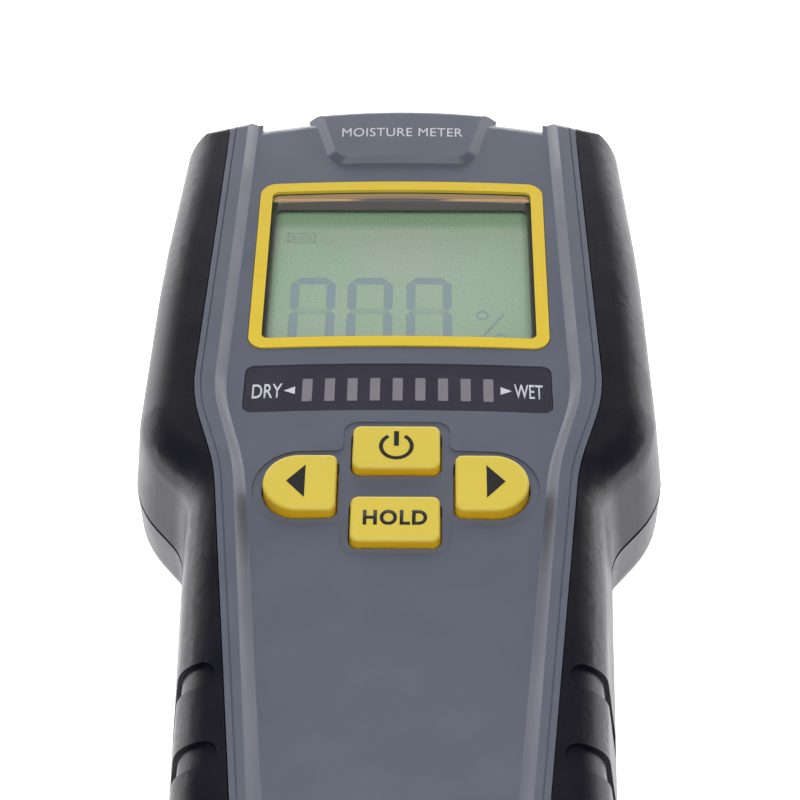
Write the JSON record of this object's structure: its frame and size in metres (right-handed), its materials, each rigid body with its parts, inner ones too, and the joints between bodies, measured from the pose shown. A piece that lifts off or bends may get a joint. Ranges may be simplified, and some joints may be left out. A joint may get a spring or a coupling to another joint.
{
  "type": "moisture meter",
  "caption": "Pinless hand-held moisture meter with a recessed display, light bar, cross of sprung keys, soft grip and sliding battery door.",
  "frame": {"origin": "centre of the meter's length and width, on the plane it rests on: the sensor pad's face and the heel of the grip", "axes": "+X across the width, to the right as the display is read; +Y along the length towards the sensing head; +Z out of the display"},
  "size_m": [0.0754, 0.203, 0.0374],
  "materials": {
    "grey_shell": "fine satin grain",
    "black_shell": "fine grain",
    "soft_grip": "soft matte overmould",
    "yellow_plastic": "satin",
    "yellow_key": "soft matte",
    "clear_window": "polished",
    "lcd": "smooth",
    "diffuser": "frosted",
    "dark_plastic": "matte",
    "elastomer": "matte",
    "smoked_window": "polished",
    "led_lens": "frosted",
    "gold_contact": "smooth",
    "circuit_board": "solder mask",
    "zinc_screw": "zinc plated",
    "chip_black": "moulded",
    "capacitor_can": "sleeved",
    "plug_white": "smooth",
    "red_lead": "smooth",
    "black_lead": "smooth",
    "battery_case": "printed sleeve",
    "foam": "open cell"
  },
  "bodies": {
    "housing": {"front_shell": "grey_shell", "grip_overmould": "soft_grip", "rear_shell": "black_shell", "display_bezel": "yellow_plastic", "display_window": "clear_window", "lcd_glass": "lcd", "lcd_backlight": "diffuser", "lcd_frame": "dark_plastic", "zebra_strips": "elastomer", "bar_window": "smoked_window", "bar_leds": "led_lens", "bar_holder": "dark_plastic", "keypad_mat": "elastomer", "contact_pads": "gold_contact", "main_board": "circuit_board", "board_screws": "zinc_screw", "case_screws": "zinc_screw", "microcontroller": "chip_black", "buzzer": "chip_black", "capacitors": "capacitor_can", "lead_plugs": "plug_white", "battery_lead_red": "red_lead", "battery_lead_black": "black_lead", "sensor_lead": "black_lead", "battery": "battery_case", "battery_snap": "chip_black", "sensor_pad": "black_shell", "sensor_board": "circuit_board", "sensor_electrodes": "gold_contact"},
    "power_key_body": {"power_key": "yellow_key", "power_pill": "elastomer"},
    "hold_key_body": {"hold_key": "yellow_key", "hold_pill": "elastomer"},
    "left_key_body": {"left_key": "yellow_key", "left_pill": "elastomer"},
    "right_key_body": {"right_key": "yellow_key", "right_pill": "elastomer"},
    "battery_door_body": {"battery_door": "black_shell", "battery_foam": "foam"}
  },
  "joints": [
    {"name": "power_press", "type": "slide", "parent": "housing", "child": "power_key_body", "axis": [0, 0, -1], "range_m": [0, 0.0008], "stiffness_N_per_m": 1500, "springref_m": -0.0004},
    {"name": "hold_press", "type": "slide", "parent": "housing", "child": "hold_key_body", "axis": [0, 0, -1], "range_m": [0, 0.0008], "stiffness_N_per_m": 1500, "springref_m": -0.0004},
    {"name": "left_press", "type": "slide", "parent": "housing", "child": "left_key_body", "axis": [0, 0, -1], "range_m": [0, 0.0008], "stiffness_N_per_m": 1500, "springref_m": -0.0004},
    {"name": "right_press", "type": "slide", "parent": "housing", "child": "right_key_body", "axis": [0, 0, -1], "range_m": [0, 0.0008], "stiffness_N_per_m": 1500, "springref_m": -0.0004},
    {"name": "battery_door_slide", "type": "slide", "parent": "housing", "child": "battery_door_body", "axis": [0, -1, 0], "range_m": [0, 0.085]}
  ]
}
